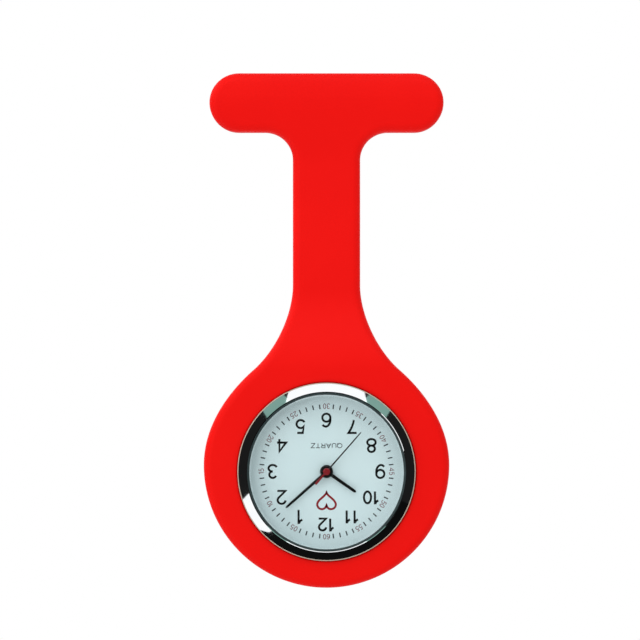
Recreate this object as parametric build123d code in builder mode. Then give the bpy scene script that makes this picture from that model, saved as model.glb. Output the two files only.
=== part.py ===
from build123d import *
from math import cos, radians, sin
import os

os.makedirs("parts", exist_ok=True)

# Fob watch in a moulded silicone cover. Millimetres, +Z up, the dial faces -Y.
# The origin is on the brooch pin's axis, level with the middle of the cover's cross bar.

# Cover, seen from the front
bar_length = 39.6
bar_height = 10.0
neck_width = 11.4
neck_fillet = 4.7
flare_top_z = -30.9
disc_radius = 20.7
disc_z = -61.2
hand_z = -62.3

# Cover, seen from the side
bar_front_y = -8.7
bar_back_y = -2.6
neck_front_y = -7.1
neck_back_y = -4.1
disc_front_y = -10.6
disc_back_y = -2.0
edge_round = 1.3

# Watch case, as radii about the hand axis and depths
bezel_radius = 14.95
bezel_rim_y = -11.0
bezel_crest_radius = 13.45
bezel_crest_y = -11.9
flange_radius = 15.6
flange_front_y = -9.4
case_back_y = -3.1
case_bore_radius = 13.35
sight_radius = 12.9
crystal_radius = 13.1
crystal_front_y = -11.85
crystal_back_y = -10.75
gasket_seat_radius = 13.38
dial_front_y = -8.6
dial_back_y = -8.2
back_seat_y = -3.9
back_rim_radius = 14.2
back_pad_radius = 11.9
rear_opening_radius = 12.05

# Crown and stem
stem_y = -6.4
stem_radius = 0.45
crown_radius = 2.0
crown_inner_x = -15.75
crown_outer_x = -17.5
crown_pocket_x = -18.8
crown_travel = 0.8
tube_radius = 1.2
tube_bore = 0.85

# Movement depths, front to back
plate_back_y = -7.0
recess_floor_y = -7.4
bridge_front_y = -4.85
bridge_back_y = -4.45
plate_radius = 10.0

# Train layout about the hand axis: direction in degrees from +X, distance in millimetres
third_direction = 110
third_distance = 3.06
fifth_direction = -60
fifth_distance = 2.16
rotor_direction = -80
rotor_distance = 1.89
minute_distance = 2.4
running_gap = 0.03
small_gap = 0.02

# Brooch fitting
pin_radius = 0.45
pin_land_end_x = 10.45
pin_tip_radius = 0.38
hinge_x = -13.5
rivet_radius = 0.5
catch_start_x = 11.2
catch_end_x = 12.9
catch_opening = 125
plate_top_y = -3.2

# Hands, as clock angles from twelve and lengths from the hand axis
hour_angle = 305.0
minute_angle = 48.4
second_angle = 221.2
hour_length = 6.04
minute_length = 9.2
second_length = 8.9
second_tail = 2.85

hand_axis = Axis((0, 0, hand_z), (0, 1, 0))


def polar(distance, direction, start=(0, 0)):
    """Point at a distance and direction from a start point."""
    angle = radians(direction)
    return (start[0] + distance * cos(angle), start[1] + distance * sin(angle))


third_at = polar(third_distance, third_direction)
fifth_at = polar(fifth_distance, fifth_direction)
rotor_at = polar(rotor_distance, rotor_direction, fifth_at)
minute_at = (-minute_distance, 0)
battery_at = (6.3, 0)
clamp_post_at = (5.4, -5.0)
bridge_pillars = [(-4.6, 4.6), (2.4, 4.2), (-3.0, -3.4)]
lever_pivot_at = (-7.1, 2.0)
yoke_pivot_at = (-4.875, -3.0)
core_ends = [(-5.0, -7.3), (4.2, -7.3)]


def facing(y):
    """Plane facing the viewer at depth y, centred on the hand axis; local x is +X, local y is +Z."""
    return Plane(origin=(0, y, hand_z), x_dir=(1, 0, 0), z_dir=(0, -1, 0))


def outward(x):
    """Plane across the stem at x, facing out through the crown; local x is +Z, local y is +Y."""
    return Plane(origin=(x, stem_y, hand_z), x_dir=(0, 0, 1), z_dir=(-1, 0, 0))


def along_pin(x):
    """Plane across the brooch pin at x; local x is +Y, local y is +Z."""
    return Plane(origin=(x, 0, 0), x_dir=(0, 1, 0), z_dir=(1, 0, 0))


def turned(points, mode=Mode.ADD):
    """Solid turned about the hand axis from an outline of (radius, depth) points."""
    with BuildSketch(Plane.XY.offset(hand_z)) as outline:
        Polygon(*points, align=None)
    revolve(outline.sketch, axis=hand_axis, mode=mode)


def round_layer(radius, back, front, centre=(0, 0), mode=Mode.ADD):
    """Round layer between two depths."""
    with BuildSketch(facing(back)) as outline:
        with Locations(centre):
            Circle(radius)
    extrude(outline.sketch, amount=back - front, mode=mode)


def box_layer(size, back, front, centre=(0, 0), mode=Mode.ADD):
    """Rectangular layer between two depths."""
    with BuildSketch(facing(back)) as outline:
        with Locations(centre):
            Rectangle(*size)
    extrude(outline.sketch, amount=back - front, mode=mode)


def arm_layer(start, end, width, back, front, mode=Mode.ADD):
    """Layer with round ends that joins two points."""
    run = Vector(*end) - Vector(*start)
    turn = Vector(1, 0).get_signed_angle(run, Vector(0, 0, 1))
    middle = Location(((start[0] + end[0]) / 2, (start[1] + end[1]) / 2), turn)
    with BuildSketch(facing(back)) as outline:
        with Locations(middle):
            SlotCenterToCenter(run.length, width)
    extrude(outline.sketch, amount=back - front, mode=mode)


def toothed_layer(teeth, module, back, front, turn, centre=(0, 0)):
    """Layer with tapered teeth; tooth 0 points turn degrees from +X."""
    pitch_radius = teeth * module / 2
    tip = pitch_radius + 0.75 * module
    root = pitch_radius - 1.05 * module
    corners = [(root, -0.33), (tip, -0.11), (tip, 0.11), (root, 0.33)]
    points = []
    for tooth in range(teeth):
        for radius, share in corners:
            points.append(polar(radius, turn + (tooth + share) * 360 / teeth, centre))
    with BuildSketch(facing(back)) as outline:
        Polygon(*points, align=None)
    extrude(outline.sketch, amount=back - front)


def stem_layer(radius, start, end, mode=Mode.ADD):
    """Round length of the stem line between two x positions, from the inner to the outer one."""
    with BuildSketch(outward(start)) as outline:
        Circle(radius)
    extrude(outline.sketch, amount=start - end, mode=mode)


# --- Silicone cover ---
with BuildPart() as silicone_cover:
    bar_end_x = bar_length / 2 - bar_height / 2
    neck_x = neck_width / 2
    fillet_z = -bar_height / 2 - neck_fillet
    shoulder = (11.9, disc_z + 16.4)
    shoulder_slope = 44
    with BuildSketch(Plane.XZ):
        with BuildLine():
            Line((0, bar_height / 2), (bar_end_x, bar_height / 2))
            ThreePointArc(
                (bar_end_x, bar_height / 2), (bar_length / 2, 0), (bar_end_x, -bar_height / 2)
            )
            Line((bar_end_x, -bar_height / 2), (neck_x + neck_fillet, -bar_height / 2))
            ThreePointArc(
                (neck_x + neck_fillet, -bar_height / 2),
                polar(neck_fillet, 135, (neck_x + neck_fillet, fillet_z)),
                (neck_x, fillet_z),
            )
            Line((neck_x, fillet_z), (neck_x, flare_top_z))
            Bezier(
                (neck_x, flare_top_z), (neck_x, flare_top_z - 4.05),
                polar(5.72, 180 - shoulder_slope, shoulder), shoulder,
            )
            Bezier(
                shoulder, polar(1.0, -shoulder_slope, shoulder),
                (disc_radius, disc_z + 9.32), (disc_radius, disc_z),
            )
            ThreePointArc(
                (disc_radius, disc_z),
                polar(disc_radius, -45, (0, disc_z)),
                (0, disc_z - disc_radius),
            )
            mirror(about=Plane.YZ)
        make_face()
    extrude(amount=15)
    with BuildSketch(Plane.YZ):
        with BuildLine():
            Spline((-7.0, 6), (bar_front_y, 1), (neck_front_y, -11), tangents=((-1, -1), (0, -1)))
            Line((neck_front_y, -11), (neck_front_y, -32))
            Spline((neck_front_y, -32), (disc_front_y, -45), tangents=((0, -1), (0, -1)))
            Line((disc_front_y, -45), (disc_front_y, -83))
            Line((disc_front_y, -83), (disc_back_y, -83))
            Line((disc_back_y, -83), (disc_back_y, -45))
            Spline((disc_back_y, -45), (neck_back_y, -34), tangents=((0, 1), (0, 1)))
            Line((neck_back_y, -34), (neck_back_y, -10))
            Spline((neck_back_y, -10), (bar_back_y, -4), tangents=((0, 1), (0, 1)))
            Line((bar_back_y, -4), (bar_back_y, 6))
            Line((bar_back_y, 6), (-7.0, 6))
        make_face()
    extrude(amount=30, both=True, mode=Mode.INTERSECT)
    walls = silicone_cover.faces().filter_by(lambda face: abs(face.normal_at().Y) < 0.001)
    rim = walls.edges().filter_by(Axis.Y, reverse=True)
    fillet(rim, radius=edge_round)
    # Seat for the watch: a pocket with a lip in front and one behind
    pocket_radius = flange_radius + 0.05
    turned(
        [(0, disc_front_y - 1), (bezel_radius + 0.05, disc_front_y - 1), (bezel_radius + 0.05, flange_front_y),
         (pocket_radius, flange_front_y), (pocket_radius, case_back_y), (rear_opening_radius, case_back_y),
         (rear_opening_radius, disc_back_y + 1), (0, disc_back_y + 1)],
        mode=Mode.SUBTRACT,
    )
    stem_layer(crown_radius + 0.3, crown_inner_x + 1, crown_pocket_x, mode=Mode.SUBTRACT)
    # Undercut slot in the back of the bar, where the brooch plate is tucked in
    with BuildSketch(Plane.XZ.offset(-plate_top_y)):
        Rectangle(29, 3.4)
    extrude(amount=-2, mode=Mode.SUBTRACT)
    with BuildSketch(Plane.XZ.offset(-plate_top_y)):
        RectangleRounded(32.1, 4.5, 1.0)
    extrude(amount=0.65, mode=Mode.SUBTRACT)
    lips = silicone_cover.edges().filter_by(GeomType.CIRCLE)
    front_lip = lips.filter_by(lambda edge: abs(edge.center().Y - disc_front_y) < 0.01)
    fillet(front_lip.filter_by(lambda edge: abs(edge.radius - bezel_radius - 0.05) < 0.01), radius=0.3)
silicone_cover.part.label = "silicone_cover"
export_step(silicone_cover.part, "parts/silicone_cover.step")

# --- Case, crystal, dial ---
with BuildPart() as watch_case:
    turned(
        [(flange_radius, case_back_y - 0.5), (flange_radius, flange_front_y + small_gap),
         (bezel_radius, flange_front_y + small_gap), (bezel_radius, bezel_rim_y),
         (bezel_radius - 0.08, bezel_rim_y - 0.14), (bezel_radius - 0.25, bezel_rim_y - 0.22),
         (bezel_crest_radius + 0.1, bezel_crest_y + 0.04), (bezel_crest_radius, bezel_crest_y),
         (gasket_seat_radius, bezel_crest_y), (gasket_seat_radius, crystal_back_y),
         (sight_radius, crystal_back_y), (sight_radius, dial_front_y),
         (case_bore_radius, dial_front_y), (case_bore_radius, back_seat_y - 0.3),
         (case_bore_radius + 0.7, back_seat_y - 0.3), (case_bore_radius + 0.7, back_seat_y),
         (back_rim_radius + 0.05, back_seat_y), (back_rim_radius + 0.05, case_back_y),
         (flange_radius - 0.5, case_back_y)]
    )
    stem_layer(tube_radius, -12, -16, mode=Mode.SUBTRACT)
watch_case.part.label = "watch_case"
export_step(watch_case.part, "parts/watch_case.step")

with BuildPart() as crystal_gasket:
    turned(
        [(crystal_radius + small_gap, crystal_back_y - 0.01), (gasket_seat_radius - 0.01, crystal_back_y - 0.01),
         (gasket_seat_radius - 0.01, crystal_front_y + 0.15), (crystal_radius + small_gap, crystal_front_y + 0.15)]
    )
crystal_gasket.part.label = "crystal_gasket"
export_step(crystal_gasket.part, "parts/crystal_gasket.step")

with BuildPart() as crystal:
    round_layer(crystal_radius, crystal_back_y - 0.01, crystal_front_y)
    chamfer(crystal.faces().sort_by(Axis.Y)[0].edges(), length=0.32)
crystal.part.label = "crystal"
export_step(crystal.part, "parts/crystal.step")

with BuildPart() as dial:
    round_layer(case_bore_radius - 0.05, dial_back_y, dial_front_y)
    round_layer(0.95, dial_back_y, dial_front_y, mode=Mode.SUBTRACT)
    for foot_direction in (75, 255):
        round_layer(0.35, dial_back_y + 0.8, dial_back_y, polar(8.6, foot_direction))
dial.part.label = "dial"
export_step(dial.part, "parts/dial.step")

with BuildPart() as movement_ring:
    round_layer(case_bore_radius - 0.05, back_seat_y - 0.5, dial_back_y)
    round_layer(plate_radius + 0.05, back_seat_y - 0.5, dial_back_y, mode=Mode.SUBTRACT)
    stem_layer(stem_radius + 0.25, -9, -14, mode=Mode.SUBTRACT)
movement_ring.part.label = "movement_ring"
export_step(movement_ring.part, "parts/movement_ring.step")

with BuildPart() as case_back:
    turned(
        [(0, back_seat_y), (12.4, back_seat_y), (12.4, back_seat_y - 0.5), (13.3, back_seat_y - 0.5),
         (13.3, back_seat_y), (back_rim_radius, back_seat_y), (back_rim_radius, case_back_y),
         (back_pad_radius, case_back_y), (back_pad_radius - 0.2, case_back_y + 0.4), (0, case_back_y + 0.4)]
    )
    # Notch for a case knife
    box_layer((2.4, 0.5), case_back_y + 0.5, case_back_y, (0, back_pad_radius - 0.1), mode=Mode.SUBTRACT)
case_back.part.label = "case_back"
export_step(case_back.part, "parts/case_back.step")

with BuildPart() as back_gasket:
    round_layer(case_bore_radius + 0.68, back_seat_y - 0.01, back_seat_y - 0.29)
    round_layer(case_bore_radius + 0.05, back_seat_y - 0.01, back_seat_y - 0.29, mode=Mode.SUBTRACT)
back_gasket.part.label = "back_gasket"
export_step(back_gasket.part, "parts/back_gasket.step")

# --- Crown and stem ---
with BuildPart() as case_tube:
    stem_layer(tube_radius, -13.5, -16.3)
    stem_layer(tube_bore, -13.5, -16.3, mode=Mode.SUBTRACT)
case_tube.part.label = "case_tube"
export_step(case_tube.part, "parts/case_tube.step")

with BuildPart() as crown:
    with BuildSketch(outward(crown_inner_x)):
        Circle(crown_radius)
        with PolarLocations(crown_radius + 0.05, 24):
            Circle(0.15, mode=Mode.SUBTRACT)
    extrude(amount=crown_inner_x - crown_outer_x)
    stem_layer(tube_radius + 0.08, crown_inner_x, -16.5, mode=Mode.SUBTRACT)
    stem_layer(stem_radius, -16.5, -17.1, mode=Mode.SUBTRACT)
crown.part.label = "crown"
export_step(crown.part, "parts/crown.step")

with BuildPart() as crown_gasket:
    stem_layer(tube_bore - small_gap, -14.6, -15.3)
    stem_layer(stem_radius + small_gap, -14.6, -15.3, mode=Mode.SUBTRACT)
crown_gasket.part.label = "crown_gasket"
export_step(crown_gasket.part, "parts/crown_gasket.step")

groove_inner_x = -6.45
groove_outer_x = -6.95
square_start_x = -5.9
square_end_x = -3.1
square_side = 0.6
with BuildPart() as stem:
    stem_layer(stem_radius, groove_outer_x, -17.1)
    stem_layer(0.25, groove_inner_x, groove_outer_x)
    stem_layer(stem_radius, square_start_x, groove_inner_x)
    with BuildSketch(outward(square_end_x)):
        Rectangle(square_side, square_side)
    extrude(amount=square_end_x - square_start_x)
stem.part.label = "stem"
export_step(stem.part, "parts/stem.step")

clutch_inner_x = -4.5
clutch_outer_x = -5.6
with BuildPart() as sliding_pinion:
    stem_layer(1.0, clutch_inner_x, -4.95)
    stem_layer(0.6, -4.95, -5.3)
    stem_layer(0.9, -5.3, clutch_outer_x)
    with BuildSketch(outward(clutch_inner_x)):
        Rectangle(square_side + 0.04, square_side + 0.04)
    extrude(amount=clutch_inner_x - clutch_outer_x, mode=Mode.SUBTRACT)
    # Face teeth on the inner end
    with BuildSketch(outward(clutch_inner_x)):
        with PolarLocations(0.78, 14):
            Rectangle(0.5, 0.16)
    extrude(amount=0.18, mode=Mode.SUBTRACT)
sliding_pinion.part.label = "sliding_pinion"
export_step(sliding_pinion.part, "parts/sliding_pinion.step")

lever_back_y = -4.9
lever_front_y = -5.15
post_radius = 0.35
with BuildPart() as setting_lever:
    arm_layer(lever_pivot_at, (-6.7, 0), 0.9, lever_back_y, lever_front_y)
    round_layer(post_radius + running_gap, lever_back_y, lever_front_y, lever_pivot_at, mode=Mode.SUBTRACT)
    round_layer(0.19, lever_front_y, -6.05, (-6.7, 0))
setting_lever.part.label = "setting_lever"
export_step(setting_lever.part, "parts/setting_lever.step")

with BuildPart() as yoke:
    arm_layer(yoke_pivot_at, (-5.125, 0), 0.9, lever_back_y, lever_front_y)
    round_layer(post_radius + running_gap, lever_back_y, lever_front_y, yoke_pivot_at, mode=Mode.SUBTRACT)
    round_layer(0.14, lever_front_y, -5.7, (-5.125, 0))
yoke.part.label = "yoke"
export_step(yoke.part, "parts/yoke.step")

# --- Movement frame ---
pivot_radius = 0.1
pivot_hole = pivot_radius + running_gap
with BuildPart() as main_plate:
    round_layer(plate_radius, plate_back_y, dial_back_y)
    # Block that carries the stem, open over the stem's groove and over the clutch
    box_layer((3.7, 2.0), stem_y + 1.0, plate_back_y, (-8.05, 0))
    stem_layer(stem_radius + running_gap, -3, -11, mode=Mode.SUBTRACT)
    box_layer((1.9, 1.4), stem_y + 1.0, stem_y - 0.5, (-7.15, 0), mode=Mode.SUBTRACT)
    box_layer((2.1, 2.3), plate_back_y, -7.6, (-4.85, 0), mode=Mode.SUBTRACT)
    # Recess for the motion work, with the minute wheel's stud left standing
    round_layer(2.3, recess_floor_y, dial_back_y, mode=Mode.SUBTRACT)
    round_layer(2.15, recess_floor_y, dial_back_y, minute_at, mode=Mode.SUBTRACT)
    round_layer(0.25, recess_floor_y, -8.12, minute_at)
    round_layer(0.47 + running_gap, plate_back_y, recess_floor_y, mode=Mode.SUBTRACT)
    for pivot_at in (third_at, fifth_at, rotor_at):
        round_layer(pivot_hole, plate_back_y, -7.35, pivot_at, mode=Mode.SUBTRACT)
    # Battery well, contact channel, dial foot holes
    round_layer(3.5, plate_back_y, -7.65, battery_at, mode=Mode.SUBTRACT)
    box_layer((0.8, 1.3), plate_back_y, -7.65, (6.0, 3.6), mode=Mode.SUBTRACT)
    for foot_direction in (75, 255):
        foot_at = polar(8.6, foot_direction)
        round_layer(0.37, plate_back_y, dial_back_y, foot_at, mode=Mode.SUBTRACT)
    for post_at in (lever_pivot_at, yoke_pivot_at):
        round_layer(post_radius, lever_back_y + 0.05, plate_back_y, post_at)
    round_layer(0.5, -4.9, plate_back_y, clamp_post_at)
    round_layer(0.3, -4.9, -6.5, clamp_post_at, mode=Mode.SUBTRACT)
main_plate.part.label = "main_plate"
export_step(main_plate.part, "parts/main_plate.step")

with BuildPart() as train_bridge:
    with BuildSketch(facing(bridge_back_y)):
        Polygon(
            (-5.3, 5.2), (-5.3, 3.9), (-2.4, 2.0), (-2.4, -2.0), (-3.8, -2.7), (-3.8, -4.1),
            (0.5, -5.0), (2.2, -4.7), (2.6, -3.0), (2.6, 2.0), (3.1, 4.9),
            align=None,
        )
    extrude(amount=bridge_back_y - bridge_front_y)
    for pillar_at in bridge_pillars:
        round_layer(0.6, bridge_front_y, plate_back_y, pillar_at)
        round_layer(0.3, bridge_back_y, -6.2, pillar_at, mode=Mode.SUBTRACT)
    for pivot_at in (third_at, fifth_at, rotor_at, (0, 0)):
        round_layer(pivot_hole, bridge_back_y, bridge_front_y, pivot_at, mode=Mode.SUBTRACT)
train_bridge.part.label = "train_bridge"
export_step(train_bridge.part, "parts/train_bridge.step")

with BuildPart() as movement_screws:
    screw_seats = [(at, bridge_back_y) for at in bridge_pillars] + [(clamp_post_at, -4.63)]
    for screw_at, seat_y in screw_seats:
        round_layer(0.55, seat_y + 0.3, seat_y, screw_at)
        round_layer(0.29, seat_y, seat_y - 1.5, screw_at)
        box_layer((1.2, 0.16), seat_y + 0.3, seat_y + 0.15, screw_at, mode=Mode.SUBTRACT)
movement_screws.part.label = "movement_screws"
export_step(movement_screws.part, "parts/movement_screws.step")

# --- Motor and electronics ---
with BuildPart() as stator:
    for core_end, leg_v in zip(core_ends, (-5.2, -5.4)):
        corner = (core_end[0], leg_v)
        arm_layer(rotor_at, corner, 1.2, -6.0, -6.4)
        arm_layer(corner, core_end, 1.2, -6.0, -6.4)
    round_layer(1.5, -6.0, -6.4, rotor_at)
    round_layer(0.8, -6.0, -6.4, rotor_at, mode=Mode.SUBTRACT)
    for core_end in core_ends:
        round_layer(0.3, -6.0, -6.4, core_end, mode=Mode.SUBTRACT)
stator.part.label = "stator"
export_step(stator.part, "parts/stator.step")

coil_y = -5.75
with BuildPart() as coil_core:
    arm_layer(core_ends[0], core_ends[1], 1.0, coil_y + 0.25, coil_y - 0.25)
    for core_end in core_ends:
        round_layer(0.8, coil_y + 0.25, coil_y - 0.25, core_end)
        round_layer(0.3, coil_y + 0.25, coil_y - 0.25, core_end, mode=Mode.SUBTRACT)
coil_core.part.label = "coil_core"
export_step(coil_core.part, "parts/coil_core.step")

with BuildPart() as coil:
    coil_start = Plane(origin=(-4.1, coil_y, hand_z - 7.3), x_dir=(0, 1, 0), z_dir=(1, 0, 0))
    with BuildSketch(coil_start):
        Circle(1.05)
        Rectangle(0.52, 1.02, mode=Mode.SUBTRACT)
    extrude(amount=7.4)
coil.part.label = "coil"
export_step(coil.part, "parts/coil.step")

with BuildPart() as coil_screws:
    for core_end in core_ends:
        round_layer(0.55, coil_y + 0.55, coil_y + 0.25, core_end)
        round_layer(0.29, coil_y + 0.25, -6.4, core_end)
coil_screws.part.label = "coil_screws"
export_step(coil_screws.part, "parts/coil_screws.step")

board_back_y = -6.3
with BuildPart() as circuit_board:
    with BuildSketch(facing(board_back_y)):
        with BuildLine():
            CenterArc((0, 0), 9.5, 36, 89)
            CenterArc((0, 0), 6.0, 36, 89)
            Line(polar(6.0, 36), polar(9.5, 36))
            Line(polar(6.0, 125), polar(9.5, 125))
        make_face()
    extrude(amount=0.3)
circuit_board.part.label = "circuit_board"
export_step(circuit_board.part, "parts/circuit_board.step")

with BuildPart() as timing_chip:
    box_layer((1.8, 1.4), board_back_y + 0.5, board_back_y, (3.9, 6.4))
timing_chip.part.label = "timing_chip"
export_step(timing_chip.part, "parts/timing_chip.step")

with BuildPart() as quartz_crystal:
    can_start = Plane(origin=(-3.6, board_back_y + 0.7, hand_z + 7.6), x_dir=(0, 1, 0), z_dir=(1, 0, 0))
    with BuildSketch(can_start):
        Circle(0.7)
    extrude(amount=4.6)
    chamfer(quartz_crystal.edges(), length=0.15)
quartz_crystal.part.label = "quartz_crystal"
export_step(quartz_crystal.part, "parts/quartz_crystal.step")

with BuildPart() as battery_contact:
    round_layer(1.6, -7.5, -7.65, battery_at)
    box_layer((0.6, 4.1), -7.5, -7.65, (6.0, 2.05))
    box_layer((0.6, 0.3), -6.6, -7.65, (6.0, 3.95))
battery_contact.part.label = "battery_contact"
export_step(battery_contact.part, "parts/battery_contact.step")

with BuildPart() as battery:
    round_layer(3.4, -4.9, -7.2, battery_at)
    round_layer(2.8, -7.2, -7.5, battery_at)
    chamfer(battery.faces().sort_by(Axis.Y)[-1].edges(), length=0.2)
battery.part.label = "battery"
export_step(battery.part, "parts/battery.step")

with BuildPart() as battery_clamp:
    arm_layer(clamp_post_at, (6.6, 1.2), 1.8, -4.63, -4.88)
    round_layer(0.3, -4.63, -4.88, clamp_post_at, mode=Mode.SUBTRACT)
battery_clamp.part.label = "battery_clamp"
export_step(battery_clamp.part, "parts/battery_clamp.step")

# --- Going train, from the rotor to the hour wheel ---
with BuildPart() as rotor:
    round_layer(pivot_radius, -4.5, -7.3, rotor_at)
    round_layer(0.6, -5.75, -6.6, rotor_at)
    toothed_layer(6, 0.09, -5.1, -5.5, rotor_direction + 180, rotor_at)
rotor.part.label = "rotor"
export_step(rotor.part, "parts/rotor.step")

with BuildPart() as fifth_wheel:
    round_layer(pivot_radius, -4.5, -7.3, fifth_at)
    toothed_layer(36, 0.09, -5.2, -5.4, rotor_direction + 5, fifth_at)
    toothed_layer(8, 0.09, -5.4, -5.95, fifth_direction + 180, fifth_at)
fifth_wheel.part.label = "fifth_wheel"
export_step(fifth_wheel.part, "parts/fifth_wheel.step")

with BuildPart() as fourth_wheel:
    round_layer(pivot_radius, -4.5, -5.0)
    round_layer(0.19, -5.0, -10.15)
    toothed_layer(40, 0.09, -5.65, -5.85, fifth_direction + 4.5)
    toothed_layer(8, 0.09, -5.85, -6.4, third_direction)
fourth_wheel.part.label = "fourth_wheel"
export_step(fourth_wheel.part, "parts/fourth_wheel.step")

with BuildPart() as third_wheel:
    round_layer(pivot_radius, -4.5, -7.3, third_at)
    toothed_layer(60, 0.09, -6.1, -6.3, third_direction + 183, third_at)
    toothed_layer(8, 0.085, -6.3, -6.9, third_direction + 180, third_at)
third_wheel.part.label = "third_wheel"
export_step(third_wheel.part, "parts/third_wheel.step")

with BuildPart() as centre_wheel:
    toothed_layer(64, 0.085, -6.6, -6.8, third_direction + 2.8125)
    round_layer(0.47, -6.6, -9.72)
    toothed_layer(12, 0.1, -7.45, -7.75, 180)
    round_layer(0.22, -6.6, -9.72, mode=Mode.SUBTRACT)
centre_wheel.part.label = "centre_wheel"
export_step(centre_wheel.part, "parts/centre_wheel.step")

with BuildPart() as minute_wheel:
    toothed_layer(36, 0.1, -7.5, -7.7, 5, minute_at)
    toothed_layer(10, 0.096, -7.7, -8.1, 0, minute_at)
    round_layer(0.25 + running_gap, -7.5, -8.1, minute_at, mode=Mode.SUBTRACT)
minute_wheel.part.label = "minute_wheel"
export_step(minute_wheel.part, "parts/minute_wheel.step")

hour_tube_radius = 0.75
with BuildPart() as hour_wheel:
    toothed_layer(40, 0.096, -7.85, -8.05, 184.5)
    round_layer(hour_tube_radius, -7.85, -9.25)
    round_layer(0.47 + running_gap, -7.85, -9.25, mode=Mode.SUBTRACT)
hour_wheel.part.label = "hour_wheel"
export_step(hour_wheel.part, "parts/hour_wheel.step")


def baton(angle, start, length, base_width, tip_width, back, front):
    """Straight hand at a clock angle, slightly tapered, with twelve pointing down."""
    direction = -90 - angle
    points = []
    for distance, offset in ((start, base_width / 2), (length, tip_width / 2)):
        points.append(polar(offset, direction + 90, polar(distance, direction)))
    for distance, offset in ((length, tip_width / 2), (start, base_width / 2)):
        points.append(polar(offset, direction - 90, polar(distance, direction)))
    with BuildSketch(facing(back)) as outline:
        Polygon(*points, align=None)
    extrude(outline.sketch, amount=back - front)


# --- Hands ---
with BuildPart() as hour_hand:
    baton(hour_angle, 0.8, hour_length, 0.42, 0.34, -9.1, -9.22)
    round_layer(1.1, -8.95, -9.25)
    round_layer(hour_tube_radius, -8.95, -9.25, mode=Mode.SUBTRACT)
hour_hand.part.label = "hour_hand"
export_step(hour_hand.part, "parts/hour_hand.step")

with BuildPart() as minute_hand:
    baton(minute_angle, 0.6, minute_length, 0.42, 0.34, -9.55, -9.67)
    round_layer(0.95, -9.4, -9.72)
    round_layer(0.47, -9.4, -9.72, mode=Mode.SUBTRACT)
minute_hand.part.label = "minute_hand"
export_step(minute_hand.part, "parts/minute_hand.step")

with BuildPart() as second_hand:
    baton(second_angle, 0.4, second_length, 0.2, 0.15, -10.0, -10.1)
    baton(second_angle + 180, 0.4, second_tail, 0.3, 0.38, -10.0, -10.1)
    round_layer(0.67, -9.85, -10.3)
    round_layer(0.19, -9.85, -10.15, mode=Mode.SUBTRACT)
second_hand.part.label = "second_hand"
export_step(second_hand.part, "parts/second_hand.step")

# --- Brooch fitting ---
with BuildPart() as brooch_bar:
    with BuildSketch(Plane.XZ.offset(-plate_top_y)):
        RectangleRounded(32, 4.4, 0.95)
    extrude(amount=0.6)
    for ear_z in (0.85, -1.35):
        with BuildSketch(Plane.XY.offset(ear_z)):
            with Locations((hinge_x, 0)):
                Circle(1.0)
            with Locations((hinge_x, plate_top_y / 2)):
                Rectangle(2.0, -plate_top_y)
            with Locations((hinge_x, 0)):
                Circle(rivet_radius, mode=Mode.SUBTRACT)
        extrude(amount=0.5)
    with BuildSketch(along_pin(catch_start_x)):
        Circle(1.5)
        with Locations((-2.2, 0)):
            Rectangle(2.0, 1.2)
        Circle(1.08, mode=Mode.SUBTRACT)
        mouth = [(0, 0), polar(4, -catch_opening / 2), (4, 0), polar(4, catch_opening / 2)]
        Polygon(*mouth, align=None, mode=Mode.SUBTRACT)
    extrude(amount=catch_end_x - catch_start_x)
brooch_bar.part.label = "brooch_bar"
export_step(brooch_bar.part, "parts/brooch_bar.step")

with BuildPart() as hinge_rivet:
    with BuildSketch(Plane.XY.offset(-1.65)):
        with Locations((hinge_x, 0)):
            Circle(rivet_radius)
    extrude(amount=3.3)
    for head_z in (-1.65, 1.35):
        with BuildSketch(Plane.XY.offset(head_z)):
            with Locations((hinge_x, 0)):
                Circle(0.85)
        extrude(amount=0.3)
hinge_rivet.part.label = "hinge_rivet"
export_step(hinge_rivet.part, "parts/hinge_rivet.step")

with BuildPart() as brooch_pin:
    with BuildSketch(Plane.XY.offset(-0.8)):
        with Locations((hinge_x, 0)):
            Circle(1.05)
    extrude(amount=1.6)
    with BuildSketch(along_pin(hinge_x)):
        Circle(pin_radius)
    extrude(amount=pin_land_end_x - hinge_x)
    with BuildSketch(Plane.XY):
        Polygon(
            (pin_land_end_x, 0), (14.9, 0), (14.9, 0.05), (13.2, pin_tip_radius), (pin_land_end_x, pin_radius),
            align=None,
        )
    revolve(axis=Axis.X)
    with BuildSketch(Plane.XY.offset(-0.8)):
        with Locations((hinge_x, 0)):
            Circle(rivet_radius + running_gap)
    extrude(amount=1.6, mode=Mode.SUBTRACT)
brooch_pin.part.label = "brooch_pin"
export_step(brooch_pin.part, "parts/brooch_pin.step")

with BuildPart() as catch_sleeve:
    sleeve_start_x = catch_start_x - 0.3
    with BuildSketch(along_pin(sleeve_start_x)):
        Circle(1.05)
    extrude(amount=13.95 - sleeve_start_x)
    with BuildSketch(along_pin(sleeve_start_x)):
        Circle(1.3)
    extrude(amount=0.25)
    tab_plane = Plane(origin=(13.5, 0, 0), x_dir=(1, 0, 0), z_dir=Vector(0, cos(radians(-78)), sin(radians(-78))))
    with BuildSketch(tab_plane):
        RectangleRounded(0.8, 0.6, 0.1)
    extrude(amount=2.6)
    with BuildSketch(along_pin(sleeve_start_x)):
        Circle(0.62)
        mouth = [(0, 0), polar(4, -catch_opening / 2), (4, 0), polar(4, catch_opening / 2)]
        Polygon(*mouth, align=None)
    extrude(amount=5, mode=Mode.SUBTRACT)
catch_sleeve.part.label = "catch_sleeve"
export_step(catch_sleeve.part, "parts/catch_sleeve.step")
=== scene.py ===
# %% [markdown]
# # A fob watch in a silicone cover
# A nurse wears this watch pinned to the chest, so the dial hangs upside down and reads right side up from
# above. The frame that follows is the engineered model: every body, joint and hidden wheel already has
# its place. Here the pieces that the eye meets get their real surface, print and finish.

# %% Load the fixed frame
import math

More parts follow.
